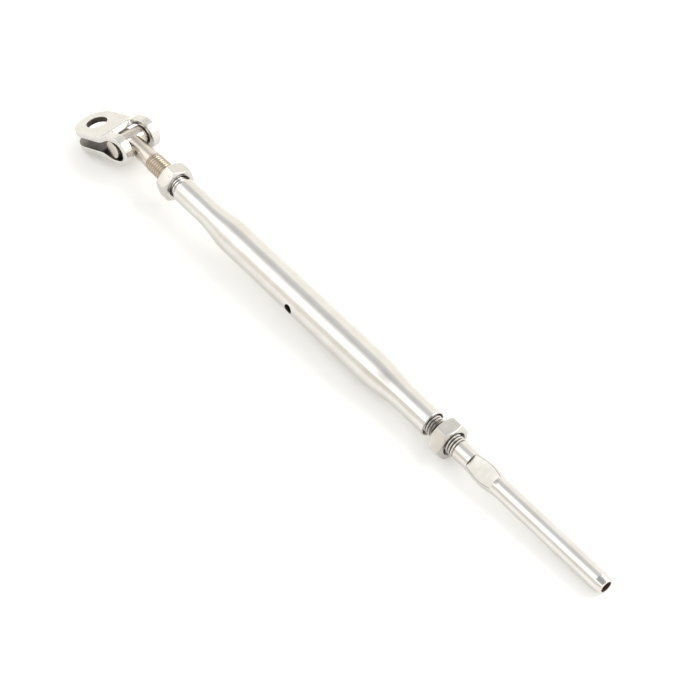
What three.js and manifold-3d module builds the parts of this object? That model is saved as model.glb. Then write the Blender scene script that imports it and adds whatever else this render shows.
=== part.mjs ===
// Rigging turnbuckle: closed tubular body, toggle on one end, wire swage stud on the other.
// Millimetres. The body axis is X, pointing to the swage end; Z is up; Y is along the toggle's cross bar.
import * as THREE from 'three';
import { mergeVertices } from 'three/addons/utils/BufferGeometryUtils.js';
import Module from 'manifold-3d';

const wasm = await Module();
wasm.setup();

// ---------- driving dimensions ----------
const THREAD_RADIUS = 5.0;          // M10 screw thread, major radius
const RUNNING_GAP = 0.3;            // clearance left around every thread and pin
const TAPPED_RADIUS = THREAD_RADIUS + RUNNING_GAP;

// body
const BODY_HALF = 94.1;
const BODY_RADIUS = 8.6;
const NECK_RADIUS = 6.6;
const NECK_LENGTH = 19.5;
const TAPER_LENGTH = 22.0;
const BODY_INNER_RADIUS = 6.4;      // bored out between the two tapped ends
const TAPPED_LENGTH = 40.0;
const CROSS_HOLE_RADIUS = 2.4;
const CROSS_HOLE_TILT = 2;          // degrees, the hole's front end points this much above -Y

// lock nuts
const NUT_ACROSS_FLATS = 16.8;
const NUT_THICKNESS = 8.0;
const NUT_CHAMFER_RADIUS = 0.455 * NUT_ACROSS_FLATS;
const SWAGE_NUT_GAP = 6.3;          // from the body's end to the nut
const TOGGLE_NUT_GAP = 3.5;
const SWAGE_NUT_TURN = -2;          // degrees about X, a corner at zero points along +Y
const TOGGLE_NUT_TURN = -18;

// swage stud
const STUD_INNER_END = 60.0;        // the screwed end inside the body
const SWAGE_SHANK_RADIUS = 4.85;
const SWAGE_THREAD_END = 112.8;
const FLATS_START = 121.3;
const FLATS_END = 137.0;
const FLATS_HALF = 3.65;
const FLATS_TURN = 28;              // degrees about X, away from facing straight up
const SWELL_RADIUS = 5.75;
const SWELL_X = 131.0;
const SLEEVE_START = 140.0;
const SLEEVE_RADIUS = 4.7;
const SLEEVE_TAPER_START = 200.5;
const SLEEVE_END = 204.4;
const SLEEVE_END_RADIUS = 4.0;
const WIRE_BORE_RADIUS = 2.7;
const WIRE_BORE_DEPTH = 55.0;

// toggle bolt: a screwed stud with a cross bar
const TOGGLE_THREAD_END = -120.4;
const TOGGLE_SHANK_RADIUS = 4.6;
const CROSS_BAR_X = -140.0;
const CROSS_BAR_RADIUS = 5.0;
const CROSS_BAR_HALF = 11.6;

// toggle strap: a flat bar bent round the cross bar into two parallel cheeks
const STRAP_THICKNESS = 3.1;
const STRAP_INNER_RADIUS = 5.3;
const STRAP_HALF_WIDTH = 11.8;
const PINCH = 2.7;                  // how much nearer each cheek is to the middle than the bend
const PINCH_START = 3.6;
const PINCH_END = 13.0;
const EYE_DISTANCE = 26.2;          // bend centre to clevis hole centre
const EYE_RADIUS = 11.8;
const CLEVIS_HOLE_RADIUS = 5.4;
const SLOT_HALF_WIDTH = 6.8;
const SLOT_FRONT = 6.2;
const BAR_AHEAD = 2.0;              // cross bar sits this far ahead of the bend centre
const STRAP_PITCH = 20;             // degrees, nose down
const STRAP_YAW = 9.5;              // degrees, nose towards -Y
const STRAP_SHIFT = -0.4;           // along the cross bar

const ROUND = 48;

// ---------- helpers ----------
const degrees = (angle) => (angle * Math.PI) / 180;

function toSolid(geometry) {
  const bare = geometry.clone();
  bare.deleteAttribute('normal');
  bare.deleteAttribute('uv');
  const merged = mergeVertices(bare, 1e-4);
  const mesh = new wasm.Mesh({
    numProp: 3,
    vertProperties: new Float32Array(merged.attributes.position.array),
    triVerts: new Uint32Array(merged.index.array),
  });
  return new wasm.Manifold(mesh);
}

function toGeometry(solid) {
  const mesh = solid.getMesh();
  const geometry = new THREE.BufferGeometry();
  const positions = new Float32Array(mesh.vertProperties);
  geometry.setAttribute('position', new THREE.BufferAttribute(positions, 3));
  geometry.setIndex(new THREE.BufferAttribute(new Uint32Array(mesh.triVerts), 1));
  geometry.computeVertexNormals();
  return geometry;
}

// A solid of revolution about X. The profile is a list of [x, radius]. One that leaves
// and rejoins the axis makes a plain body; a closed loop makes a ring.
function turned(profile, segments = ROUND) {
  const points = profile.map(([x, radius]) => new THREE.Vector2(radius, x));
  const geometry = new THREE.LatheGeometry(points, segments);
  geometry.applyMatrix4(new THREE.Matrix4().makeRotationZ(-Math.PI / 2));
  return toSolid(geometry);
}

// A flat outline in x, y, pushed up along z from `bottom` by `height`.
function prism(shape, bottom, height, curveSegments = 24) {
  const settings = { depth: height, bevelEnabled: false, curveSegments };
  const geometry = new THREE.ExtrudeGeometry(shape, settings);
  geometry.translate(0, 0, bottom);
  return toSolid(geometry);
}

function pin(radius, half, segments = ROUND) {
  return toSolid(new THREE.CylinderGeometry(radius, radius, 2 * half, segments));
}

// Smooth step between 0 and 1, as [fraction, height] pairs.
function sCurve(steps) {
  const pairs = [];
  for (let i = 0; i <= steps; i += 1) {
    const t = i / steps;
    pairs.push([t, t * t * (3 - 2 * t)]);
  }
  return pairs;
}

// ---------- pieces ----------
function makeBody() {
  const neckEnd = BODY_HALF - NECK_LENGTH;
  const taperEnd = neckEnd - TAPER_LENGTH;
  const rise = BODY_RADIUS - NECK_RADIUS;
  const half = [];
  for (const [t, h] of sCurve(10)) {
    half.push([taperEnd + TAPER_LENGTH * t, BODY_RADIUS - rise * h]);
  }
  half.push([BODY_HALF - 0.5, NECK_RADIUS]);
  half.push([BODY_HALF, NECK_RADIUS - 0.4]);
  half.push([BODY_HALF, TAPPED_RADIUS + 0.5]);
  half.push([BODY_HALF - 0.8, TAPPED_RADIUS]);
  half.push([BODY_HALF - TAPPED_LENGTH, TAPPED_RADIUS]);
  half.push([BODY_HALF - TAPPED_LENGTH - 1.5, BODY_INNER_RADIUS]);
  const other = half.map(([x, radius]) => [-x, radius]).reverse();
  const tube = turned([...half, ...other, half[0]], 64);
  const drill = pin(CROSS_HOLE_RADIUS, 12, 24).rotate([-CROSS_HOLE_TILT, 0, 0]);
  return tube.subtract(drill);
}

function makeNut(start, turn) {
  const corner = NUT_ACROSS_FLATS / Math.sqrt(3);
  const drop = (corner - NUT_CHAMFER_RADIUS) * Math.tan(degrees(33));
  const outer = turned([
    [0, 0],
    [0, NUT_CHAMFER_RADIUS],
    [drop, corner],
    [NUT_THICKNESS - drop, corner],
    [NUT_THICKNESS, NUT_CHAMFER_RADIUS],
    [NUT_THICKNESS, 0],
  ], 96);
  const hexShape = new THREE.Shape();
  for (let i = 0; i < 6; i += 1) {
    const angle = degrees(60 * i);
    const [y, z] = [corner * Math.cos(angle), corner * Math.sin(angle)];
    if (i === 0) hexShape.moveTo(y, z);
    else hexShape.lineTo(y, z);
  }
  // The outline's x, y become Y, Z, and its height becomes X.
  const hexGeometry = new THREE.ExtrudeGeometry(hexShape, { depth: NUT_THICKNESS, bevelEnabled: false });
  const swap = new THREE.Matrix4().set(0, 0, 1, 0, 1, 0, 0, 0, 0, 1, 0, 0, 0, 0, 0, 1);
  hexGeometry.applyMatrix4(swap);
  const bore = turned([
    [-1, 0],
    [-1, TAPPED_RADIUS + 1.5],
    [0.5, TAPPED_RADIUS],
    [NUT_THICKNESS - 0.5, TAPPED_RADIUS],
    [NUT_THICKNESS + 1, TAPPED_RADIUS + 1.5],
    [NUT_THICKNESS + 1, 0],
  ]);
  const nut = outer.intersect(toSolid(hexGeometry)).subtract(bore);
  return nut.rotate([turn, 0, 0]).translate([start, 0, 0]);
}

function makeSwageStud() {
  const profile = [
    [STUD_INNER_END, 0],
    [STUD_INNER_END, THREAD_RADIUS - 1],
    [STUD_INNER_END + 1, THREAD_RADIUS],
    [SWAGE_THREAD_END, THREAD_RADIUS],
    [SWAGE_THREAD_END + 0.3, SWAGE_SHANK_RADIUS],
    [FLATS_START, SWAGE_SHANK_RADIUS],
  ];
  const swellSteps = 6;
  for (let i = 1; i <= swellSteps; i += 1) {
    const t = i / swellSteps;
    const x = FLATS_START + (SWELL_X - FLATS_START) * t;
    const swell = Math.sin((t * Math.PI) / 2);
    profile.push([x, SWAGE_SHANK_RADIUS + (SWELL_RADIUS - SWAGE_SHANK_RADIUS) * swell]);
  }
  for (const [t, h] of sCurve(6).slice(1)) {
    const x = SWELL_X + (SLEEVE_START - SWELL_X) * t;
    profile.push([x, SWELL_RADIUS - (SWELL_RADIUS - SLEEVE_RADIUS) * h]);
  }
  profile.push([SLEEVE_TAPER_START, SLEEVE_RADIUS]);
  profile.push([SLEEVE_END - 0.4, SLEEVE_END_RADIUS + 0.15]);
  profile.push([SLEEVE_END, SLEEVE_END_RADIUS - 0.25]);
  profile.push([SLEEVE_END, WIRE_BORE_RADIUS + 0.3]);
  profile.push([SLEEVE_END - 0.5, WIRE_BORE_RADIUS]);
  profile.push([SLEEVE_END - WIRE_BORE_DEPTH, WIRE_BORE_RADIUS]);
  profile.push([SLEEVE_END - WIRE_BORE_DEPTH - 1.5, 0]);
  let stud = turned(profile);
  for (const side of [1, -1]) {
    const cutter = new THREE.BoxGeometry(FLATS_END - FLATS_START, 20, 10);
    cutter.translate((FLATS_START + FLATS_END) / 2, 0, side * (FLATS_HALF + 5));
    cutter.applyMatrix4(new THREE.Matrix4().makeRotationX(degrees(FLATS_TURN)));
    stud = stud.subtract(toSolid(cutter));
  }
  return stud;
}

function makeToggleBolt() {
  const inner = -STUD_INNER_END;
  const shank = turned([
    [CROSS_BAR_X, 0],
    [CROSS_BAR_X, TOGGLE_SHANK_RADIUS],
    [TOGGLE_THREAD_END, TOGGLE_SHANK_RADIUS],
    [TOGGLE_THREAD_END + 0.8, THREAD_RADIUS],
    [inner - 1, THREAD_RADIUS],
    [inner, THREAD_RADIUS - 1],
    [inner, 0],
  ]);
  const bar = new THREE.LatheGeometry([
    new THREE.Vector2(0, -CROSS_BAR_HALF),
    new THREE.Vector2(CROSS_BAR_RADIUS - 0.6, -CROSS_BAR_HALF),
    new THREE.Vector2(CROSS_BAR_RADIUS, -CROSS_BAR_HALF + 0.6),
    new THREE.Vector2(CROSS_BAR_RADIUS, CROSS_BAR_HALF - 0.6),
    new THREE.Vector2(CROSS_BAR_RADIUS - 0.6, CROSS_BAR_HALF),
    new THREE.Vector2(0, CROSS_BAR_HALF),
  ], ROUND);
  return shank.add(toSolid(bar).translate([CROSS_BAR_X, 0, 0]));
}

// Centre line of the strap seen from its side: round the bend, then out along the upper cheek.
function strapCentreLine() {
  const middle = STRAP_INNER_RADIUS + STRAP_THICKNESS / 2;
  const line = [];
  for (let i = 0; i <= 12; i += 1) {
    const angle = Math.PI - (i / 12) * (Math.PI / 2);
    line.push([middle * Math.cos(angle), middle * Math.sin(angle)]);
  }
  for (const [t, h] of sCurve(10)) {
    line.push([PINCH_START + (PINCH_END - PINCH_START) * t, middle - PINCH * h]);
  }
  line.push([EYE_DISTANCE + EYE_RADIUS + 2, middle - PINCH]);
  return line;
}

// The same line moved sideways by `offset`, outwards positive.
function offsetLine(line, offset) {
  return line.map(([x, z], i) => {
    const before = line[Math.max(0, i - 1)];
    const after = line[Math.min(line.length - 1, i + 1)];
    let [tx, tz] = [after[0] - before[0], after[1] - before[1]];
    if (i === 0) [tx, tz] = [0, 1];
    const length = Math.hypot(tx, tz);
    return [x - (tz / length) * offset, z + (tx / length) * offset];
  });
}

function makeStrapBlank() {
  const line = strapCentreLine();
  const outer = offsetLine(line, STRAP_THICKNESS / 2);
  const inner = offsetLine(line, -STRAP_THICKNESS / 2);
  const mirror = (points) => points.slice(1).map(([x, z]) => [x, -z]).reverse();
  const loop = [...mirror(outer), ...outer, ...inner.slice().reverse(), ...mirror(inner).reverse()];
  const shape = new THREE.Shape(loop.map(([x, z]) => new THREE.Vector2(x, z)));
  const settings = { depth: 2 * STRAP_HALF_WIDTH, bevelEnabled: false };
  const geometry = new THREE.ExtrudeGeometry(shape, settings);
  geometry.translate(0, 0, -STRAP_HALF_WIDTH);
  geometry.applyMatrix4(new THREE.Matrix4().makeRotationX(Math.PI / 2));
  return toSolid(geometry);
}

function makeStrapOutline() {
  const shape = new THREE.Shape();
  shape.moveTo(-20, -STRAP_HALF_WIDTH - 1);
  shape.lineTo(EYE_DISTANCE - 6, -STRAP_HALF_WIDTH - 1);
  shape.lineTo(EYE_DISTANCE, -EYE_RADIUS);
  shape.absarc(EYE_DISTANCE, 0, EYE_RADIUS, -Math.PI / 2, Math.PI / 2, false);
  shape.lineTo(EYE_DISTANCE - 6, STRAP_HALF_WIDTH + 1);
  shape.lineTo(-20, STRAP_HALF_WIDTH + 1);
  shape.closePath();
  const hole = new THREE.Path();
  hole.absarc(EYE_DISTANCE, 0, CLEVIS_HOLE_RADIUS, 0, 2 * Math.PI, true);
  shape.holes.push(hole);
  return prism(shape, -12, 24);
}

function makeSlotCutter() {
  const corner = 2.2;
  const shape = new THREE.Shape();
  shape.moveTo(-20, -SLOT_HALF_WIDTH);
  shape.lineTo(SLOT_FRONT - corner, -SLOT_HALF_WIDTH);
  shape.absarc(SLOT_FRONT - corner, -SLOT_HALF_WIDTH + corner, corner, -Math.PI / 2, 0, false);
  shape.absarc(SLOT_FRONT - corner, SLOT_HALF_WIDTH - corner, corner, 0, Math.PI / 2, false);
  shape.lineTo(-20, SLOT_HALF_WIDTH);
  shape.closePath();
  return prism(shape, -12, 24, 6);
}

// Strap frame: x towards the nose, z out of the upper cheek, origin at the bend centre.
function makeStrap() {
  const blank = makeStrapBlank().intersect(makeStrapOutline()).subtract(makeSlotCutter());
  // First lay it nose towards -X, with its bend set back from the cross bar, then swing it.
  return blank
    .translate([-BAR_AHEAD, 0, 0])
    .rotate([0, 0, 180])
    .rotate([0, 0, STRAP_YAW])
    .rotate([0, -STRAP_PITCH, 0])
    .translate([CROSS_BAR_X, STRAP_SHIFT, 0]);
}

// ---------- assembly ----------
const steel = { color: 0xc9c6c0, metalness: 0.9, roughness: 0.25 };
const pieces = [
  ['body_tube', makeBody(), steel],
  ['swage_lock_nut', makeNut(BODY_HALF + SWAGE_NUT_GAP, SWAGE_NUT_TURN), steel],
  ['toggle_lock_nut', makeNut(-BODY_HALF - TOGGLE_NUT_GAP - NUT_THICKNESS, TOGGLE_NUT_TURN), steel],
  ['swage_stud', makeSwageStud(), steel],
  ['toggle_bolt', makeToggleBolt(), { color: 0xbfb8ae, metalness: 0.9, roughness: 0.3 }],
  ['toggle_strap', makeStrap(), { color: 0xcfcac2, metalness: 0.9, roughness: 0.25 }],
];

const group = new THREE.Group();
group.name = 'rigging_turnbuckle';
for (const [name, solid, look] of pieces) {
  const mesh = new THREE.Mesh(toGeometry(solid), new THREE.MeshStandardMaterial(look));
  mesh.name = name;
  group.add(mesh);
}

// Put the frame's origin under the middle of the whole part.
const box = new THREE.Box3().setFromObject(group);
const middle = box.getCenter(new THREE.Vector3());
for (const mesh of group.children) {
  mesh.geometry.translate(-middle.x, -middle.y, -box.min.z);
}

export default group;
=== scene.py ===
"""A closed-body rigging turnbuckle in polished stainless steel, on a pale studio floor."""

import math

import bmesh
import bpy
from mathutils import Matrix, Vector
from mathutils.geometry import delaunay_2d_cdt


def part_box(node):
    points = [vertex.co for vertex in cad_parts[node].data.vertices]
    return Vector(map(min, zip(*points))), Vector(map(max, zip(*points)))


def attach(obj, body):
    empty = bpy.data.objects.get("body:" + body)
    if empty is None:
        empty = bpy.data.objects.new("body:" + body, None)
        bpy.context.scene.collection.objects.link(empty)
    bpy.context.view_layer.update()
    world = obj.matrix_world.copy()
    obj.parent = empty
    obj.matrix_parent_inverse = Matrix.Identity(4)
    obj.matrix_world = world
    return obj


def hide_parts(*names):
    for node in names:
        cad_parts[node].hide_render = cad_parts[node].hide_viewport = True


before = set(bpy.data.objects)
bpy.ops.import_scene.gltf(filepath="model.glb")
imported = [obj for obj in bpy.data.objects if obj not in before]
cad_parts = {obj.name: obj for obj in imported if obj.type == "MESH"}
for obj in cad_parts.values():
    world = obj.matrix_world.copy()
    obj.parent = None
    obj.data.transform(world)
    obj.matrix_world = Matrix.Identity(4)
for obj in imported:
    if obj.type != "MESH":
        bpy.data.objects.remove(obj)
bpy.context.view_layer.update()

MM = 0.001
TURN = 2 * math.pi
SIXTH = math.radians(60)
TWELFTH = math.radians(30)

# The body's middle is the origin of every measure below, in millimetres. X points to the swage end.
body_low, body_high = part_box("body_tube")
ORIGIN = (body_low + body_high) / 2

# ---------- dimensions, millimetres ----------
PITCH = 1.5                 # M10 coarse thread
THREAD_CREST = 5.0
THREAD_ROOT = 4.08
TOGGLE_THREAD_ROOT = 4.55   # the toggle bolt's thread is worn smooth
INNER_CREST = 5.09          # female threads keep clear of the male ones
INNER_ROOT = 5.62
FREE_END_DROP = 0.3         # a male thread's free end starts this far below its root
FREE_END_SLOPE = 0.8
RUNOUT = 1.2 * PITCH        # a male thread fades into its shank over this length
STUD_INNER_END = 60.0       # both screwed pieces' free ends are this far from the body's middle
END_FACE_RING = 2.0         # radius of the one row on a free end's flat face

BODY_HALF = 94.1
BODY_RADIUS = 8.6
BODY_EDGE = 0.45
BODY_MOUTH_RADIUS = 5.95
NECK_RADIUS = 6.6
NECK_LENGTH = 19.5
TAPER_LENGTH = 22.0
BODY_INNER_RADIUS = 6.4
INNER_TAPER_LENGTH = 1.5    # between the tapped length and the wider bore
TAPPED_LENGTH = 40.0
CUT_THREAD_LENGTH = 15.0    # how much of each tapped end has its thread cut as a real helix
CROSS_HOLE_RADIUS = 2.4
CROSS_HOLE_LIP = 0.35
CROSS_HOLE_ANGLE = 178.0    # from +Y towards +Z

NUT_ACROSS_FLATS = 16.8
NUT_THICKNESS = 8.0
NUT_CORNER = 0.45
NUT_CHAMFER_RADIUS = 7.75
NUT_LEAST_CHAMFER = 0.12
NUT_MOUTH_RADIUS = 6.35
SWAGE_NUT_START = BODY_HALF + 6.3
TOGGLE_NUT_START = -BODY_HALF - 3.5 - NUT_THICKNESS
SWAGE_NUT_TURN = -2.0       # degrees
TOGGLE_NUT_TURN = -18.0

SWAGE_SHANK_RADIUS = 4.85
SWAGE_THREAD_END = 112.8
FLATS_START = 121.3
FLATS_END = 137.0
FLATS_HALF = 3.65
FLATS_ANGLE = 118.0         # direction of the flat's normal, from +Y towards +Z
SWELL_RADIUS = 5.75
SWELL_X = 131.0
SLEEVE_START = 140.0
SLEEVE_RADIUS = 4.7
SLEEVE_TAPER_START = 200.0
SLEEVE_TAPER_EASE = 1.2     # the sleeve bends into its taper over this length
SLEEVE_TAPER_SLOPE = 0.19
SLEEVE_TIP_RADIUS = 4.02
SLEEVE_TIP_EDGE = 0.3
SLEEVE_END = 204.4
WIRE_BORE_RADIUS = 2.7
WIRE_BORE_CHAMFER = 0.12
WIRE_BORE_DEPTH = 55.0
DRILL_POINT = 1.5

TOGGLE_THREAD_END = 120.4   # distance from the body's middle
TOGGLE_SHANK_RADIUS = 4.6
CROSS_BAR_X = -140.0
CROSS_BAR_RADIUS = 5.0
CROSS_BAR_HALF = 11.6
CROSS_BAR_EDGE = 0.7

STRAP_THICKNESS = 3.1
STRAP_EDGE = 0.5
STRAP_MIDDLE_RADIUS = 5.3 + STRAP_THICKNESS / 2
STRAP_HALF_WIDTH = 11.8
PINCH = 2.7                 # how far each cheek closes in past the bend
PINCH_START = 3.6
PINCH_END = 13.0
EYE_DISTANCE = 26.2         # from the bend's centre
CLEVIS_HOLE_RADIUS = 5.4
SLOT_HALF_WIDTH = 6.8
SLOT_FRONT = 6.2            # from the bend's centre, towards the eyes
SLOT_CORNER = 2.2
BAR_AHEAD = 2.0             # from the bend's centre to the cross bar, towards the eyes
STRAP_PITCH = 20.0          # degrees
STRAP_YAW = 9.5
STRAP_SHIFT = -0.4          # along the cross bar

SHARP_ANGLE = 32.0          # degrees over which an edge of a turned piece looks sharp
NUT_SHARP_ANGLE = 24.0
ALL_SMOOTH = 180.0


def smooth_step(t):
    t = min(max(t, 0.0), 1.0)
    return t * t * (3 - 2 * t)


# ---------- mesh building ----------
class Surface:
    """Collects points and faces in millimetres. Equal points are merged, so rows that meet are joined.
    A face is made of the material at place `kind` of those given to build()."""

    def __init__(self):
        self.points = []
        self.found = {}
        self.faces = []
        self.kinds = []
        self.kind = 0

    def vertex(self, x, y, z):
        key = (round(x, 4), round(y, 4), round(z, 4))
        if key not in self.found:
            self.found[key] = len(self.points)
            self.points.append((x, y, z))
        return self.found[key]

    def polar(self, x, radius, angle):
        return self.vertex(x, radius * math.cos(angle), radius * math.sin(angle))

    def face(self, *ids):
        kept = [v for i, v in enumerate(ids) if v != ids[i - 1]]
        if len(kept) > 2 and len(set(kept)) == len(kept):
            self.faces.append(kept)
            self.kinds.append(self.kind)

    def stitch(self, a, b):
        """Joins two closed rows of the same length."""
        count = len(a)
        for i in range(count):
            k = (i + 1) % count
            self.face(a[i], a[k], b[k], b[i])

    def build(self, name, materials, sharp=SHARP_ANGLE, place=Matrix()):
        """Makes a piece of what was collected, moved first by `place`."""
        mesh = bpy.data.meshes.new(name)
        mesh.from_pydata([place @ Vector(p) for p in self.points], [], self.faces)
        mesh.polygons.foreach_set("material_index", self.kinds)
        return finish_piece(mesh, materials, sharp)


def finish_piece(mesh, materials, sharp):
    """Turns a mesh in millimetres into a piece in its place. Its faces point outwards, and its shading
    is smooth except over edges steeper than `sharp` degrees."""
    mesh.transform(Matrix.Translation(ORIGIN) @ Matrix.Scale(MM, 4))
    for material in materials:
        mesh.materials.append(material)
    work = bmesh.new()
    work.from_mesh(mesh)
    bmesh.ops.recalc_face_normals(work, faces=work.faces)
    if work.calc_volume(signed=True) < 0:
        bmesh.ops.reverse_faces(work, faces=work.faces)
    work.to_mesh(mesh)
    work.free()
    mesh.shade_smooth()
    mesh.set_sharp_from_angle(angle=math.radians(sharp))
    mesh.update()
    piece = bpy.data.objects.new(mesh.name, mesh)
    bpy.context.scene.collection.objects.link(piece)
    return piece


def even_angles(count, first=0.0):
    return [math.radians(first) + TURN * i / count for i in range(count)]


def ring(surface, angles, x, radius):
    """A row round the axis. The radius is a number or a function of the angle."""
    value = radius if callable(radius) else (lambda angle: radius)
    return [surface.polar(x, value(angle), angle) for angle in angles]


def chain(surface, rows):
    """Stitches each row to the next, and returns the last."""
    for a, b in zip(rows, rows[1:]):
        surface.stitch(a, b)
    return rows[-1]


def lathe(surface, angles, profile, joined=None):
    """Rows for a list of (x, radius), stitched to each other and to the row `joined`."""
    rows = [ring(surface, angles, x, radius) for x, radius in profile]
    return chain(surface, rows if joined is None else [joined] + rows)


def fillet(x, radius, size, along, steps=4):
    """(x, radius) pairs round an outer corner, from the side onto the face at x. along is +1
    for a face that looks towards +X."""
    pairs = []
    for k in range(steps + 1):
        a = math.pi / 2 * k / steps
        pairs.append((x - along * size * (1 - math.sin(a)), radius - size * (1 - math.cos(a))))
    return pairs


# ---------- threads ----------
# One pitch of the profile: place along the pitch, and depth from crest 0 to root 1.
THREAD_PROFILE = (
    (0.00, 0.05), (0.03, 0.0), (0.095, 0.0), (0.125, 0.05),
    (0.455, 0.95), (0.51, 1.0), (0.615, 1.0), (0.67, 0.95),
)


def thread(surface, angles, start, end, hand, crest, root, limit):
    """A helical thread from x = start to end. hand is 1 for a right-hand thread, -1 for a left-hand
    one. limit(x, radius) trims it, and gives one radius at each end whatever the thread does there.
    Returns its first and last rows."""
    per_pitch = len(THREAD_PROFILE)
    rows = math.ceil((end - start) / PITCH + 2) * per_pitch + 1
    columns = []
    for angle in angles:
        advance = hand * (angle - angles[0]) / TURN
        column = []
        for j in range(rows):
            place, depth = THREAD_PROFILE[j % per_pitch]
            x = start + PITCH * (j // per_pitch - 1 + place + advance)
            x = min(max(x, start), end)
            radius = limit(x, crest + (root - crest) * depth)
            column.append(surface.polar(x, radius, angle))
        columns.append(column)
    last = len(columns) - 1
    for i, column in enumerate(columns):
        after = columns[0] if i == last else columns[i + 1]
        shift = hand * per_pitch if i == last else 0
        for j in range(rows - 1):
            near = min(max(j + shift, 0), rows - 1)
            far = min(max(j + 1 + shift, 0), rows - 1)
            surface.face(column[j], column[j + 1], after[far], after[near])
    first = ring(surface, angles, start, limit(start, crest))
    return first, ring(surface, angles, end, limit(end, crest))


def male_limit(free_end, runout_end, shank_radius, root):
    """The free end is chamfered below the root, and the other end runs out into the shank."""
    def limit(x, radius):
        chamfer = root - FREE_END_DROP + abs(x - free_end) * FREE_END_SLOPE
        fade = smooth_step(abs(x - runout_end) / RUNOUT)
        return shank_radius + (min(radius, chamfer) - shank_radius) * fade
    return limit


def female_limit(mouth, mouth_radius, inner, inner_radius):
    """Both ends open out in a countersink."""
    def limit(x, radius):
        return max(radius, mouth_radius - abs(x - mouth), inner_radius - abs(x - inner))
    return limit


# ---------- body tube ----------
def body_radius(x):
    start = BODY_HALF - NECK_LENGTH - TAPER_LENGTH
    return BODY_RADIUS - (BODY_RADIUS - NECK_RADIUS) * smooth_step((abs(x) - start) / TAPER_LENGTH)


def make_body(materials):
    """A tube that tapers to a neck at each end, tapped at both ends, with a hole across its middle."""
    OUTSIDE, INSIDE, TAPPED = range(3)
    surface = Surface()
    count = 96
    patch = 7                   # half the size of the hole's patch, in rows and in columns
    patch_half_length = 4.0
    angles = even_angles(count, CROSS_HOLE_ANGLE - 180.0)
    patch_x = [patch_half_length * (k - patch) / patch for k in range(2 * patch + 1)]
    straight_x = [12.0, 24.0, 34.0, 44.0]   # rows between the patch and the taper

    def skin(outer_x, radius_at):
        """Rows along one skin, with a square left open round each end of the cross hole."""
        stations = [-x for x in reversed(outer_x)] + patch_x + outer_x
        low = len(outer_x)
        rows = [ring(surface, angles, x, radius_at(x)) for x in stations]
        for k in range(len(rows) - 1):
            for i in range(count):
                near = i % (count // 2)
                beside = near < patch or near >= count // 2 - patch
                if not (beside and low <= k < low + 2 * patch):
                    n = (i + 1) % count
                    surface.face(rows[k][i], rows[k][n], rows[k + 1][n], rows[k + 1][i])
        return rows, rows[low:low + 2 * patch + 1]

    surface.kind = OUTSIDE
    neck = BODY_HALF - NECK_LENGTH
    taper_steps = 28
    taper_x = [neck - TAPER_LENGTH * (1 - k / taper_steps) for k in range(taper_steps + 1)]
    outer, outer_patch = skin(straight_x + taper_x + [neck + 6, neck + 13], body_radius)
    surface.kind = INSIDE
    bore_half = BODY_HALF - TAPPED_LENGTH - INNER_TAPER_LENGTH
    inner, inner_patch = skin(straight_x + [bore_half], lambda x: BODY_INNER_RADIUS)

    side = range(-patch, patch)
    square = [(k, -patch) for k in side] + [(patch, i) for i in side]
    square += [(-k, patch) for k in side] + [(-patch, -i) for i in side]

    def hole(centre):
        """A rounded lip on the outer skin, and a wall down to the inner one."""
        def loop(skin_radius, hole_radius, share=0.0):
            """A loop at `share` of the way from the hole to the square's border."""
            made = []
            for k, i in square:
                x, swing = patch_x[k + patch], TURN * i / count
                way = math.atan2(swing * BODY_RADIUS, x)
                near_x = hole_radius * math.cos(way)
                near_swing = math.asin(hole_radius * math.sin(way) / skin_radius)
                angle = angles[centre] + near_swing + (swing - near_swing) * share
                made.append(surface.polar(near_x + (x - near_x) * share, skin_radius, angle))
            return made

        def border(patch_rows):
            return [patch_rows[k + patch][(centre + i) % count] for k, i in square]

        surface.kind = OUTSIDE
        rows = [border(outer_patch)]
        for share in (0.72, 0.45, 0.2, 0.06):
            rows.append(loop(BODY_RADIUS, CROSS_HOLE_RADIUS + CROSS_HOLE_LIP, share))
        for step in range(5):
            a = math.pi / 2 * step / 4
            skin_radius = BODY_RADIUS - CROSS_HOLE_LIP * (1 - math.cos(a))
            rows.append(loop(skin_radius, CROSS_HOLE_RADIUS + CROSS_HOLE_LIP * (1 - math.sin(a))))
        chain(surface, rows[:-2])
        # The innermost part of the lip takes the bore's material, painted shade at the hole's mouth.
        surface.kind = INSIDE
        chain(surface, rows[-3:] + [
            loop((BODY_RADIUS + BODY_INNER_RADIUS) / 2, CROSS_HOLE_RADIUS),
            loop(BODY_INNER_RADIUS, CROSS_HOLE_RADIUS),
            loop(BODY_INNER_RADIUS, CROSS_HOLE_RADIUS, 0.5),
            border(inner_patch),
        ])

    hole(0)
    hole(count // 2)

    cut_end = BODY_HALF - CUT_THREAD_LENGTH
    for end in (1, -1):
        surface.kind = OUTSIDE
        face_x = end * BODY_HALF
        nose = [(end * (BODY_HALF - 1.2), NECK_RADIUS)]
        nose += fillet(face_x, NECK_RADIUS, BODY_EDGE, end)
        nose += [(face_x, BODY_MOUTH_RADIUS)]
        lathe(surface, angles, nose, outer[-1] if end > 0 else outer[0])
        surface.kind = TAPPED
        limit = female_limit(face_x, BODY_MOUTH_RADIUS, end * cut_end, INNER_ROOT + 0.05)
        span = (cut_end, BODY_HALF) if end > 0 else (-BODY_HALF, -cut_end)
        rows = thread(surface, angles, *span, end, INNER_CREST, INNER_ROOT, limit)
        surface.kind = INSIDE
        plain = [(end * (cut_end - 1), INNER_CREST), (end * (BODY_HALF - TAPPED_LENGTH), INNER_CREST)]
        last = lathe(surface, angles, plain, rows[0] if end > 0 else rows[1])
        surface.stitch(last, inner[-1] if end > 0 else inner[0])
    return surface.build("body_tube_polished", materials)


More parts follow.
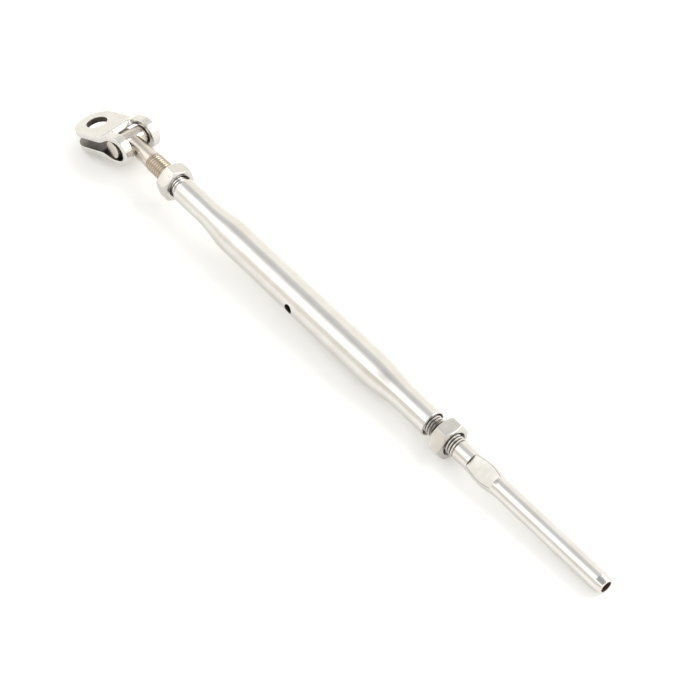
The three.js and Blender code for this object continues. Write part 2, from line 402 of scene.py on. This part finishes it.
# ---------- lock nuts ----------
def make_nut(name, materials, start, turn, hand):
    """A hexagon with rounded corners. A cone takes the corners off each face, which leaves the arcs
    on the flats."""
    SIDE, TAPPED, FACE = range(3)
    surface = Surface()
    end = start + NUT_THICKNESS
    half_flats = NUT_ACROSS_FLATS / 2
    corner_centre = (half_flats - NUT_CORNER) / math.cos(TWELFTH)
    tangent = math.atan2(NUT_CORNER / 2, corner_centre + NUT_CORNER * math.cos(TWELFTH))
    # Columns: close together round each corner, wider over the flats.
    steps = [-tangent * (1 - k / 3) for k in range(4)] + [tangent * (k + 1) / 3 for k in range(3)]
    steps += [tangent + (SIXTH - 2 * tangent) * (k + 1) / 11 for k in range(10)]
    angles = [math.radians(turn + 60 * k) + step for k in range(6) for step in steps]

    def hexagon(angle):
        from_corner = (angle - math.radians(turn) + TWELFTH) % SIXTH - TWELFTH
        if abs(from_corner) > tangent:
            return half_flats / math.cos(TWELFTH - abs(from_corner))
        across = corner_centre * math.sin(from_corner)
        return corner_centre * math.cos(from_corner) + math.sqrt(NUT_CORNER * NUT_CORNER - across * across)

    def side(x, toward, bore_row):
        """From the bore's mouth over the face and its chamfer to the hexagon's edge."""
        def rim(angle):
            return min(NUT_CHAMFER_RADIUS, hexagon(angle) - NUT_LEAST_CHAMFER)

        def rounded(t, size=0.10, length=0.22):
            """A row over the edge between the cone, at t = 0, and the flat, at t = 1."""
            made = []
            for angle in angles:
                cone = max(NUT_LEAST_CHAMFER, (hexagon(angle) - NUT_CHAMFER_RADIUS) * math.tan(TWELFTH))
                depth = cone - size + length * t
                made.append(surface.polar(x - toward * depth, hexagon(angle) - size * (1 - t) ** 2, angle))
            return made

        surface.kind = FACE
        face = [
            bore_row,
            ring(surface, angles, x, NUT_MOUTH_RADIUS + 0.15),
            ring(surface, angles, x, lambda angle: rim(angle) - 0.25),
            ring(surface, angles, x - toward * 0.015, rim),
        ]
        chain(surface, face)
        surface.kind = SIDE
        return chain(surface, [face[-1], rounded(0.0), rounded(0.5), rounded(1.0)])

    surface.kind = TAPPED
    limit = female_limit(start, NUT_MOUTH_RADIUS, end, NUT_MOUTH_RADIUS)
    first, last = thread(surface, angles, start, end, hand, INNER_CREST, INNER_ROOT, limit)
    near = side(start, -1, first)
    far = side(end, 1, last)
    middle = ring(surface, angles, (start + end) / 2, hexagon)
    chain(surface, [near, middle, far])
    return surface.build(name, materials, NUT_SHARP_ANGLE)


# ---------- swage stud ----------
def stud_radius(x):
    if x <= FLATS_START:
        return SWAGE_SHANK_RADIUS
    if x <= SWELL_X:
        t = (x - FLATS_START) / (SWELL_X - FLATS_START)
        return SWAGE_SHANK_RADIUS + (SWELL_RADIUS - SWAGE_SHANK_RADIUS) * math.sin(t * math.pi / 2)
    t = (x - SWELL_X) / (SLEEVE_START - SWELL_X)
    return SWELL_RADIUS - (SWELL_RADIUS - SLEEVE_RADIUS) * smooth_step(t)


def make_stud(materials):
    """One turned piece: thread, shank, two wrench flats, and the sleeve with its wire bore."""
    ROUND, THREADED, FLAT, SHADED_FACE, BORDER, WIRE_BORE = range(6)
    surface = Surface()
    count = 96
    angles = even_angles(count, FLATS_ANGLE)
    surface.kind = THREADED
    limit = male_limit(STUD_INNER_END, SWAGE_THREAD_END, SWAGE_SHANK_RADIUS, THREAD_ROOT)
    span = (STUD_INNER_END, SWAGE_THREAD_END)
    first, last = thread(surface, angles, *span, 1, THREAD_CREST, THREAD_ROOT, limit)
    # The free end takes the bore's near-black material: painted shade.
    surface.kind = SHADED_FACE
    lathe(surface, angles, [(STUD_INNER_END, END_FACE_RING), (STUD_INNER_END, 0.0)], first)

    # Columns 0 to `edge` on each side of a flat's middle lie on it, so that its border is one clean line.
    edge = 11
    quarter = count // 4

    def from_flat(i):
        """Columns from the middle of the nearer flat to column i."""
        return (i + quarter) % (2 * quarter) - quarter

    def column_angle(i, border):
        """Angle of column i when the flat's border is `border` away from its middle."""
        away = from_flat(i)
        size = abs(away)
        if size <= edge:
            swing = border * size / edge
        else:
            swing = border + (math.pi / 2 - border) * (size - edge) / (quarter - edge)
        return angles[i] - TURN * away / count + math.copysign(swing, away)

    def row(x, radius, on_flat=False):
        border = math.acos(min(FLATS_HALF / radius, 1.0))
        made = []
        for i in range(count):
            reach = radius
            size = abs(from_flat(i))
            if on_flat and size <= edge:
                reach = min(radius, FLATS_HALF / math.cos(border * size / edge))
            made.append(surface.polar(x, reach, column_angle(i, border)))
        return made

    surface.kind = ROUND
    shank = [(SWAGE_THREAD_END + 0.5, SWAGE_SHANK_RADIUS), (SWAGE_THREAD_END + 4, SWAGE_SHANK_RADIUS)]
    last = lathe(surface, angles, shank, last)
    for x in (FLATS_START - 0.6, FLATS_START):
        last = chain(surface, [last, row(x, SWAGE_SHANK_RADIUS)])
    flat_rows = []
    flat_steps = 22
    for k in range(flat_steps + 1):
        x = FLATS_START + (FLATS_END - FLATS_START) * k / flat_steps
        flat_rows.append(row(x, stud_radius(x), True))
    for a, b in zip([last] + flat_rows, flat_rows):
        on_wall = a is last
        for i in range(count):
            size = abs(from_flat(i + 0.5))
            # The flat's step takes the bore's near-black material as painted shade, and the column just off
            # each flat takes a painted dark line.
            surface.kind = ROUND
            if size < edge:
                surface.kind = SHADED_FACE if on_wall else FLAT
            elif size < edge + 1 and not on_wall:
                surface.kind = BORDER
            n = (i + 1) % count
            surface.face(a[i], a[n], b[n], b[i])

    surface.kind = ROUND
    rows = [flat_rows[-1], row(FLATS_END, stud_radius(FLATS_END))]
    neck_steps = 6
    for k in range(1, neck_steps + 1):
        x = FLATS_END + (SLEEVE_START - FLATS_END) * k / neck_steps
        rows.append(row(x, stud_radius(x)))
    last = chain(surface, rows)

    profile = [(SLEEVE_START + 8, SLEEVE_RADIUS), (SLEEVE_START + 30, SLEEVE_RADIUS)]
    for k in range(6):
        x = SLEEVE_TAPER_EASE * k / 5
        drop = SLEEVE_TAPER_SLOPE * x * x / (2 * SLEEVE_TAPER_EASE)
        profile.append((SLEEVE_TAPER_START + x, SLEEVE_RADIUS - drop))
    profile += fillet(SLEEVE_END, SLEEVE_TIP_RADIUS, SLEEVE_TIP_EDGE, 1)
    profile += [(SLEEVE_END, WIRE_BORE_RADIUS + WIRE_BORE_CHAMFER)]
    last = lathe(surface, angles, profile, last)

    surface.kind = WIRE_BORE
    bore_end = SLEEVE_END - WIRE_BORE_DEPTH
    lathe(surface, angles, [
        (SLEEVE_END - WIRE_BORE_CHAMFER, WIRE_BORE_RADIUS), (SLEEVE_END - 20, WIRE_BORE_RADIUS),
        (bore_end, WIRE_BORE_RADIUS), (bore_end - DRILL_POINT, 0.0),
    ], last)
    return surface.build("swage_stud_polished", materials)


# ---------- toggle bolt ----------
def make_bolt(materials):
    """The screwed shank, joined to its cross bar."""
    SHANK, SHADE_TINTED_THREAD, FREE_END, BRIGHT_THREAD = range(4)
    surface = Surface()
    angles = even_angles(72)
    start, end = -TOGGLE_THREAD_END, -STUD_INNER_END
    surface.kind = SHADE_TINTED_THREAD
    limit = male_limit(end, start, TOGGLE_SHANK_RADIUS, TOGGLE_THREAD_ROOT)
    first, last = thread(surface, angles, start, end, -1, THREAD_CREST, TOGGLE_THREAD_ROOT, limit)
    surface.kind = FREE_END
    lathe(surface, angles, [(end, END_FACE_RING), (end, 0.0)], last)
    surface.kind = SHANK
    lathe(surface, angles, [
        (start - 0.4, TOGGLE_SHANK_RADIUS), (-128.0, TOGGLE_SHANK_RADIUS),
        (CROSS_BAR_X, TOGGLE_SHANK_RADIUS), (CROSS_BAR_X, 0.0),
    ], first)
    # The thread is tinted tan with painted shade where it stands outside the lock nut, and bright further
    # in.
    for i, corners in enumerate(surface.faces):
        if surface.kinds[i] == SHADE_TINTED_THREAD and surface.points[corners[0]][0] > TOGGLE_NUT_START:
            surface.kinds[i] = BRIGHT_THREAD
    bolt = surface.build("toggle_bolt_polished", materials)

    bar = Surface()
    side = fillet(CROSS_BAR_HALF, CROSS_BAR_RADIUS, CROSS_BAR_EDGE, 1)
    profile = [(CROSS_BAR_HALF, 0.0)] + side[::-1]
    profile = [(-x, radius) for x, radius in profile] + [(0.0, CROSS_BAR_RADIUS)] + profile[::-1]
    lathe(bar, even_angles(72), profile)
    across = Matrix.Translation((CROSS_BAR_X, 0, 0)) @ Matrix.Rotation(math.pi / 2, 4, "Z")
    cutter = bar.build("cross_bar", materials, place=across)
    union = bolt.modifiers.new("bar", "BOOLEAN")
    union.operation = "UNION"
    union.solver = "EXACT"
    union.object = cutter
    bpy.context.view_layer.update()
    joined = bolt.evaluated_get(bpy.context.evaluated_depsgraph_get())
    mesh = bpy.data.meshes.new_from_object(joined)
    bolt.modifiers.clear()
    bolt.data = mesh
    bpy.data.objects.remove(cutter)
    mesh.set_sharp_from_angle(angle=math.radians(SHARP_ANGLE))
    return bolt


# ---------- toggle strap ----------
def strap_line():
    """The strap's centre line from the top of its bend out along the upper cheek: (length, x, z)."""
    points = []
    for k in range(31):
        a = math.pi - math.pi / 2 * k / 30
        points.append((STRAP_MIDDLE_RADIUS * math.cos(a), STRAP_MIDDLE_RADIUS * math.sin(a)))
    for k in range(61):
        t = k / 60
        x = PINCH_START + (PINCH_END - PINCH_START) * t
        points.append((x, STRAP_MIDDLE_RADIUS - PINCH * smooth_step(t)))
    points.append((EYE_DISTANCE + 20.0, STRAP_MIDDLE_RADIUS - PINCH))
    line, length = [], 0.0
    for i, (x, z) in enumerate(points):
        if i:
            length += math.hypot(x - points[i - 1][0], z - points[i - 1][1])
        line.append((length, x, z))
    return line


STRAP_LINE = strap_line()


def along_strap(length):
    """Place on the centre line of the upper half."""
    for (l0, x0, z0), (l1, x1, z1) in zip(STRAP_LINE, STRAP_LINE[1:]):
        if length <= l1:
            break
    t = (length - l0) / (l1 - l0)
    return x0 + (x1 - x0) * t, z0 + (z1 - z0) * t


def length_at(x_wanted):
    for (l0, x0, _), (l1, x1, _) in zip(STRAP_LINE, STRAP_LINE[1:]):
        if x0 <= x_wanted <= x1:
            return l0 + (l1 - l0) * (x_wanted - x0) / (x1 - x0)


def bend(u, v, w, reach=0.25):
    """A point of the flat blank, bent: u along it from the middle, v across it, w out of its outer face.
    The strap's direction is taken over `reach` on each side of the point."""
    x, z = along_strap(abs(u))
    ax, az = along_strap(max(abs(u) - reach, 0.0))
    bx, bz = along_strap(abs(u) + reach)
    size = math.hypot(bx - ax, bz - az)
    nx, nz = -(bz - az) / size, (bx - ax) / size
    if abs(u) < reach:
        nx, nz = -1.0, 0.0
    return Vector((x + w * nx, v, (z + w * nz) * (1 if u >= 0 else -1)))


def arc(cx, cy, radius, first, last, steps):
    """Points round a centre, between two angles in degrees."""
    angles = [math.radians(first + (last - first) * k / steps) for k in range(steps + 1)]
    return [(cx + radius * math.cos(a), cy + radius * math.sin(a)) for a in angles]


def blank_loops(inset):
    """The blank's border, its slot and its two clevis holes, each moved `inset` into the metal."""
    eye = length_at(EYE_DISTANCE)
    reach = STRAP_HALF_WIDTH - inset
    loops = [arc(eye, 0, reach, -90, 90, 32) + arc(-eye, 0, reach, 90, 270, 32)]
    slot = length_at(SLOT_FRONT) + inset
    corner = SLOT_CORNER + inset
    wide = SLOT_HALF_WIDTH + inset
    loop = []
    for cx, cy, first in ((1, 1, 0), (-1, 1, 90), (-1, -1, 180), (1, -1, 270)):
        loop += arc(cx * (slot - corner), cy * (wide - corner), corner, first, first + 90, 8)
    loops.append(loop)
    for side in (1, -1):
        loops.append(arc(side * eye, 0, CLEVIS_HOLE_RADIUS + inset, 0, 360, 48)[:-1])
    return loops


def is_inside(point, loop):
    found = False
    for (x0, y0), (x1, y1) in zip(loop, loop[1:] + loop[:1]):
        if (y0 > point.y) != (y1 > point.y) and point.x < x0 + (x1 - x0) * (point.y - y0) / (y1 - y0):
            found = not found
    return found


def make_blank():
    """The strap while it is still flat, with rounded edges, and cut across where it will bend."""
    work = bmesh.new()
    half = STRAP_THICKNESS / 2
    rounding = []
    for k in range(6):
        a = math.pi / 2 * k / 5
        rounding.append((STRAP_EDGE * (1 - math.sin(a)), half - STRAP_EDGE * (1 - math.cos(a))))
    flat_inset = STRAP_EDGE + 0.5
    upper = [(flat_inset, half)] + rounding
    rings = upper + [(inset, -w) for inset, w in reversed(upper)]
    rows = []
    for inset, w in rings:
        rows.append([[work.verts.new((u, v, w)) for u, v in loop] for loop in blank_loops(inset)])
    for a, b in zip(rows, rows[1:]):
        for loop_a, loop_b in zip(a, b):
            count = len(loop_a)
            for i in range(count):
                n = (i + 1) % count
                work.faces.new((loop_a[i], loop_a[n], loop_b[n], loop_b[i]))

    points, edges = [], []
    flat_loops = blank_loops(flat_inset)
    for loop in flat_loops:
        first = len(points)
        points += [Vector(p) for p in loop]
        edges += [(first + i, first + (i + 1) % len(loop)) for i in range(len(loop))]
    corners, _, triangles = delaunay_2d_cdt(points, edges, [], 1, 1e-6)[:3]
    for row in (rows[0], rows[-1]):
        verts = [v for loop in row for v in loop]
        for triangle in triangles:
            middle = sum((corners[i] for i in triangle), Vector((0, 0))) / 3
            if not any(is_inside(middle, opening) for opening in flat_loops[1:]):
                work.faces.new([verts[i] for i in triangle])

    cuts, spacing = 42, 0.62
    for k in range(-cuts, cuts + 1):
        cut = (k * spacing, 0, 0)
        geometry = list(work.verts) + list(work.edges) + list(work.faces)
        bmesh.ops.bisect_plane(work, geom=geometry, dist=1e-5, plane_co=cut, plane_no=(1, 0, 0))
    return work


def make_strap(materials):
    """The blank, bent round the cross bar and turned to where it lies."""
    OUTER, INNER, HOLE_WALL = range(3)
    work = make_blank()
    near = 0.12                 # what is this close to a flat side of the blank belongs to it
    half = STRAP_THICKNESS / 2
    eye = length_at(EYE_DISTANCE)
    for face in work.faces:
        middle = face.calc_center_median()
        from_eye = math.hypot(abs(middle.x) - eye, middle.y)
        face.material_index = OUTER
        # Painted shade: the clevis holes' walls take the bore's near-black material, and the inner faces the
        # dark inside material.
        if from_eye < CLEVIS_HOLE_RADIUS + 0.2 and abs(middle.z) < half - near:
            face.material_index = HOLE_WALL
        elif all(v.co.z < -half + near for v in face.verts):
            face.material_index = INNER
    for vertex in work.verts:
        vertex.co = bend(*vertex.co)
    mesh = bpy.data.meshes.new("toggle_strap_satin")
    work.to_mesh(mesh)
    work.free()
    mesh.transform(Matrix.Translation((CROSS_BAR_X, STRAP_SHIFT, 0))
                   @ Matrix.Rotation(math.radians(-STRAP_PITCH), 4, "Y")
                   @ Matrix.Rotation(math.radians(180 + STRAP_YAW), 4, "Z")
                   @ Matrix.Translation((-BAR_AHEAD, 0, 0)))
    return finish_piece(mesh, materials, ALL_SMOOTH)


# ---------- materials ----------
class Graph:
    """The nodes of a material or of the world. A value here is a number or another node's output."""

    def __init__(self, owner):
        owner.use_nodes = True
        self.nodes = owner.node_tree.nodes
        self.links = owner.node_tree.links

    def coordinates(self, kind):
        return self.nodes.new("ShaderNodeTexCoord").outputs[kind]

    def split(self, vector):
        node = self.nodes.new("ShaderNodeSeparateXYZ")
        self.links.new(vector, node.inputs["Vector"])
        return node.outputs["X"], node.outputs["Y"], node.outputs["Z"]

    def noise(self, vector, scale, detail, rough, turn=(0, 0, 0)):
        place = self.nodes.new("ShaderNodeMapping")
        place.inputs["Scale"].default_value = scale
        place.inputs["Rotation"].default_value = [math.radians(a) for a in turn]
        self.links.new(vector, place.inputs["Vector"])
        made = self.nodes.new("ShaderNodeTexNoise")
        made.inputs["Scale"].default_value = 1.0
        made.inputs["Detail"].default_value = detail
        made.inputs["Roughness"].default_value = rough
        self.links.new(place.outputs["Vector"], made.inputs["Vector"])
        return made.outputs["Fac"]

    def spread(self, value, low, high, to_low, to_high, smooth=False):
        """Takes the values from low to high to those from to_low to to_high."""
        node = self.nodes.new("ShaderNodeMapRange")
        node.interpolation_type = "SMOOTHSTEP" if smooth else "LINEAR"
        node.inputs["From Min"].default_value = low
        node.inputs["From Max"].default_value = high
        node.inputs["To Min"].default_value = to_low
        node.inputs["To Max"].default_value = to_high
        self.links.new(value, node.inputs["Value"])
        return node.outputs["Result"]

    def maths(self, operation, *values):
        node = self.nodes.new("ShaderNodeMath")
        node.operation = operation
        for socket, value in zip(node.inputs, values):
            if isinstance(value, (int, float)):
                socket.default_value = value
            else:
                self.links.new(value, socket)
        return node.outputs["Value"]

    def mix(self, share, a, b):
        """Colour a where the share is 0, b where it is 1."""
        node = self.nodes.new("ShaderNodeMix")
        node.data_type = "RGBA"
        for name, colour in (("A", a), ("B", b)):
            if isinstance(colour, tuple):
                node.inputs[name].default_value = (*colour, 1)
            else:
                self.links.new(colour, node.inputs[name])
        self.links.new(share, node.inputs["Factor"])
        return node.outputs["Result"]


def new_material(name):
    material = bpy.data.materials.new(name)
    graph = Graph(material)
    return material, graph, graph.nodes["Principled BSDF"]


PATCHES = (85, 85, 85)
SCRATCHES = (260, 5200, 5200)
SCRATCH_TURN = (0, 24, 31)
SCRATCH_SHARE = 0.35
SCRATCH_DEPTH = 1.5e-6
LEAST_ROUGHNESS = 0.04


def steel(name, bright, dull, roughness, grain, grain_depth, painted_root_shade=None):
    """Stainless steel: fine grain lines, a few scratches, and patches handled duller than the rest.
    grain is the lines' noise scale along X, Y and Z, and grain_depth is in metres.
    The last argument, (inner radius, outer radius, colour), is painted shade: it mixes that colour over what
    lies deep, such as a thread's root."""
    material, graph, shader = new_material(name)
    shader.inputs["Metallic"].default_value = 1.0
    coordinates = graph.coordinates("Object")
    lines = graph.noise(coordinates, grain, 3.0, 0.6)
    patches = graph.noise(coordinates, PATCHES, 3.0, 0.5)
    marks = graph.noise(coordinates, SCRATCHES, 2.0, 0.5, SCRATCH_TURN)
    marks = graph.spread(marks, 0.66, 0.74, 0.0, SCRATCH_SHARE, True)
    colour = graph.mix(graph.spread(patches, 0.35, 0.68, 0.0, 1.0, True), bright, dull)
    rough = graph.spread(lines, 0.25, 0.75, *roughness)
    rough = graph.maths("ADD", rough, graph.spread(patches, 0.3, 0.7, -0.02, 0.04))
    rough = graph.maths("ADD", rough, graph.maths("MULTIPLY", marks, 0.25))
    # Painted shade: the colour darkens, and the roughness rises, towards a thread's root.
    if painted_root_shade:
        inner, outer, shade_colour = painted_root_shade
        _, y, z = graph.split(coordinates)
        y = graph.maths("SUBTRACT", y, ORIGIN.y)
        z = graph.maths("SUBTRACT", z, ORIGIN.z)
        squares = graph.maths("ADD", graph.maths("MULTIPLY", y, y), graph.maths("MULTIPLY", z, z))
        depth = graph.spread(graph.maths("SQRT", squares), inner * MM, outer * MM, 1.0, 0.0, True)
        colour = graph.mix(depth, colour, shade_colour)
        rough = graph.maths("ADD", rough, graph.maths("MULTIPLY", depth, 0.22))
    graph.links.new(colour, shader.inputs["Base Color"])
    graph.links.new(graph.maths("MAXIMUM", rough, LEAST_ROUGHNESS), shader.inputs["Roughness"])
    bump = graph.nodes.new("ShaderNodeBump")
    bump.inputs["Strength"].default_value = 1.0
    bump.inputs["Distance"].default_value = 1.0
    height = graph.maths("MULTIPLY", lines, grain_depth)
    height = graph.maths("SUBTRACT", height, graph.maths("MULTIPLY", marks, SCRATCH_DEPTH))
    graph.links.new(height, bump.inputs["Height"])
    graph.links.new(bump.outputs["Normal"], shader.inputs["Normal"])
    return material


LENGTHWISE = (30, 2600, 2600)
ROUND_ABOUT = (3000, 160, 160)
ACROSS_FLAT = (1500, 130, 130)
NUT_GRAIN = (2400, 400, 400)
EVEN = (1500, 1500, 1500)
FINE = (2600, 2600, 2600)

polished = steel("polished_steel", (0.672, 0.656, 0.626), (0.637, 0.616, 0.578), (0.10, 0.20),
                 LENGTHWISE, 6e-7)
sleeve = steel("polished_sleeve", (0.685, 0.67, 0.645), (0.645, 0.625, 0.59), (0.09, 0.17),
               LENGTHWISE, 5e-7)
brushed = steel("brushed_flat", (0.61, 0.595, 0.555), (0.535, 0.515, 0.47), (0.22, 0.40),
                ACROSS_FLAT, 8e-6)
nut_side = steel("nut_steel", (0.62, 0.60, 0.56), (0.56, 0.54, 0.50), (0.14, 0.25),
                 NUT_GRAIN, 1.3e-6)
nut_face = steel("nut_face", (0.66, 0.645, 0.62), (0.60, 0.58, 0.555), (0.16, 0.28),
                 EVEN, 9e-7)
# Lighter than the barrel's steel, as a painted highlight on the crests, with near-black painted shade in the
# roots.
threads = steel("thread_steel", (0.72, 0.70, 0.67), (0.62, 0.59, 0.55), (0.14, 0.24),
                ROUND_ABOUT, 1.5e-6, painted_root_shade=(THREAD_ROOT, THREAD_CREST - 0.1, (0.05, 0.042, 0.038)))
# Tan and low in contrast: painted shade and warm painted reflection standing in for the thread's grooves,
# with lighter painted shade in the roots.
bolt_threads = steel("bolt_thread_steel", (0.50, 0.425, 0.335), (0.42, 0.35, 0.27), (0.13, 0.22),
                     ROUND_ABOUT, 1e-6,
                     painted_root_shade=(TOGGLE_THREAD_ROOT, THREAD_CREST - 0.1, (0.36, 0.295, 0.225)))
# Dark: painted shade inside the tapped holes of the body and the nuts.
female = steel("female_thread_painted_shade", (0.22, 0.20, 0.185), (0.17, 0.15, 0.135), (0.30, 0.44),
               ROUND_ABOUT, 1.5e-6)
# Near black: painted shade inside the body's bore and cross hole, on the stud's step and free end, and on
# the strap's clevis hole walls.
bore = steel("bore_painted_shade", (0.13, 0.108, 0.094), (0.10, 0.08, 0.068), (0.38, 0.55),
             ROUND_ABOUT, 2e-6)
# Dark and reddish-brown: painted shade inside the sleeve's wire bore.
wire_bore_painted_shade = steel("wire_bore_painted_shade", (0.26, 0.165, 0.13), (0.17, 0.10, 0.08), (0.38, 0.55),
                  ROUND_ABOUT, 2e-6)
# A thin dark line along each flat's border: painted reflection of dark surroundings at the crease.
painted_dark_edge_line = steel("painted_dark_edge_line", (0.20, 0.19, 0.175), (0.15, 0.14, 0.13), (0.25, 0.38),
                    LENGTHWISE, 1e-6)
# Darker and warmer than the barrel's steel: painted shade, to dim the cross bar where it sits in the strap's
# slot.
bolt_steel = steel("bolt_steel", (0.62, 0.575, 0.52), (0.54, 0.49, 0.43), (0.16, 0.28),
                   LENGTHWISE, 1e-6)
strap_steel = steel("strap_steel", (0.665, 0.65, 0.622), (0.615, 0.595, 0.56), (0.13, 0.24),
                    FINE, 5e-7)
# Dark: painted shade on the strap's inner faces, between its cheeks.
strap_inside_painted_shade = steel("strap_inside_painted_shade", (0.20, 0.18, 0.165), (0.14, 0.125, 0.11), (0.30, 0.45),
                     EVEN, 1.2e-6)

# ---------- pieces ----------
NUT_MATERIALS = (nut_side, female, nut_face)
PIECES = (
    (make_body((polished, bore, female)), "barrel", "body_tube", "body_steel"),
    (make_nut("swage_nut_chamfered", NUT_MATERIALS, SWAGE_NUT_START, SWAGE_NUT_TURN, 1),
     "swage_nut", "swage_lock_nut", "nut_steel"),
    (make_nut("toggle_nut_chamfered", NUT_MATERIALS, TOGGLE_NUT_START, TOGGLE_NUT_TURN, -1),
     "toggle_nut", "toggle_lock_nut", "nut_steel"),
    (make_stud((sleeve, threads, brushed, bore, painted_dark_edge_line, wire_bore_painted_shade)),
     "swage_end", "swage_stud", "stud_steel"),
    (make_bolt((bolt_steel, bolt_threads, nut_face, threads)),
     "toggle_shank", "toggle_bolt", "bolt_steel"),
    (make_strap((strap_steel, strap_inside_painted_shade, bore)), "toggle", "toggle_strap", "strap_steel"),
)
for piece, body, node, slot in PIECES:
    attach(piece, body)
    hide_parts(node)

# ---------- floor ----------
FLOOR_SLOPE = math.radians(1.83)        # the part lies on its strap's nose and its swage nut
FLOOR_GAP = 0.0003
FLOOR_HALF = 6.0
NOSE = ORIGIN + Vector((-175.53, 0, -17.55)) * MM       # the lowest place on the strap's nose

floor_material, _, shader = new_material("studio_floor")
shader.inputs["Base Color"].default_value = (0.945, 0.939, 0.928, 1)
shader.inputs["Roughness"].default_value = 0.9
shader.inputs["Specular IOR Level"].default_value = 0.1
floor_mesh = bpy.data.meshes.new("studio_floor")
floor_corners = [(x * FLOOR_HALF, y * FLOOR_HALF, 0) for x, y in ((-1, -1), (1, -1), (1, 1), (-1, 1))]
floor_mesh.from_pydata(floor_corners, [], [(0, 1, 2, 3)])
floor_mesh.materials.append(floor_material)
floor = bpy.data.objects.new("studio_floor", floor_mesh)
scene = bpy.context.scene
scene.collection.objects.link(floor)
below_nose = Matrix.Translation((NOSE.x, 0, NOSE.z - FLOOR_GAP))
floor.matrix_world = below_nose @ Matrix.Rotation(-FLOOR_SLOPE, 4, "Y")

# ---------- light ----------
KEY_DIRECTION = Vector((0.45, 0.75, 0.75)).normalized()
KEY_TARGET = Vector((0.0, 0.0, 0.01))
KEY_DISTANCE = 1.6

key_data = bpy.data.lights.new("key", "AREA")
key_data.shape = "RECTANGLE"
key_data.size, key_data.size_y = 1.1, 1.1
key_data.energy = 13.0
key = bpy.data.objects.new("key", key_data)
scene.collection.objects.link(key)
key.location = KEY_TARGET + KEY_DIRECTION * KEY_DISTANCE
key.rotation_mode = "QUATERNION"
key.rotation_quaternion = KEY_DIRECTION.to_track_quat("Z", "Y")

world = bpy.data.worlds.new("studio")
scene.world = world
sky = Graph(world)
sky_x, sky_y, sky_z = sky.split(sky.coordinates("Generated"))
around = sky.maths("ARCTAN2", sky_z, sky_y)
ramp = sky.nodes.new("ShaderNodeValToRGB")
ramp.color_ramp.interpolation = "EASE"
sky.links.new(sky.spread(around, -math.pi, math.pi, 0.0, 1.0), ramp.inputs["Fac"])
# Degrees from +Y over the top to -Y, and how bright the studio is there.
STUDIO = (
    (-30, (1.08, 1.06, 0.99)), (48, (1.08, 1.06, 0.99)), (60, (0.76, 0.765, 0.77)), (84, (0.65, 0.66, 0.68)),
    (99, (0.90, 0.90, 0.90)), (110, (1.45, 1.45, 1.44)), (142, (1.45, 1.45, 1.43)), (160, (1.0, 0.97, 0.90)),
    (172, (0.92, 0.89, 0.82)), (180, (0.98, 0.95, 0.88)),
)
elements = ramp.color_ramp.elements
elements[0].position, elements[1].position = 0.0, 1.0
elements[0].color = (*STUDIO[-1][1], 1)
elements[1].color = (*STUDIO[-1][1], 1)
for degrees, colour in STUDIO[:-1]:
    element = elements.new((degrees + 180) / 360)
    element.color = (*colour, 1)


def between(value, *edges):
    """1 where the value lies between the two middle edges, fading to 0 at the outer ones."""
    rise = sky.spread(value, edges[0], edges[1], 0.0, 1.0, True)
    fall = sky.spread(value, edges[3], edges[2], 0.0, 1.0, True)
    return sky.maths("MULTIPLY", rise, fall)


def hang(backdrop, along, degrees, colour):
    """Hangs a panel of one colour in front of the backdrop. Its place along X, and its angle in degrees as
    in STUDIO, have four edges each, as in between()."""
    over = between(around, *[math.radians(d) for d in degrees])
    share = sky.maths("MULTIPLY", between(sky_x, *along), over)
    return sky.mix(share, backdrop, colour)


studio = hang(ramp.outputs["Color"], (-0.32, -0.08, 0.20, 0.27), (72, 88, 124, 140), (0.42, 0.43, 0.44))
studio = hang(studio, (-0.56, -0.45, 0.5, 0.7), (141, 152, 165, 176), (0.80, 0.775, 0.715))
sky.links.new(studio, sky.nodes["Background"].inputs["Color"])
sky.nodes["Background"].inputs["Strength"].default_value = 1.23

# ---------- camera ----------
AZIMUTH, ELEVATION = math.radians(50.8), math.radians(50.2)

camera_data = bpy.data.cameras.new("camera")
camera_data.lens = 97.2
camera_data.sensor_width = 36.0
camera_data.clip_start, camera_data.clip_end = 0.05, 20.0
camera = bpy.data.objects.new("camera", camera_data)
scene.collection.objects.link(camera)
level = math.cos(ELEVATION)
back = Vector((math.sin(AZIMUTH) * level, -math.cos(AZIMUTH) * level, math.sin(ELEVATION)))
camera.location = ORIGIN + Vector((468.4, -352.85, 667.35)) * MM
camera.rotation_mode = "QUATERNION"
camera.rotation_quaternion = back.to_track_quat("Z", "Y")
scene.camera = camera

scene.view_settings.view_transform = "Standard"
scene.view_settings.look = "None"
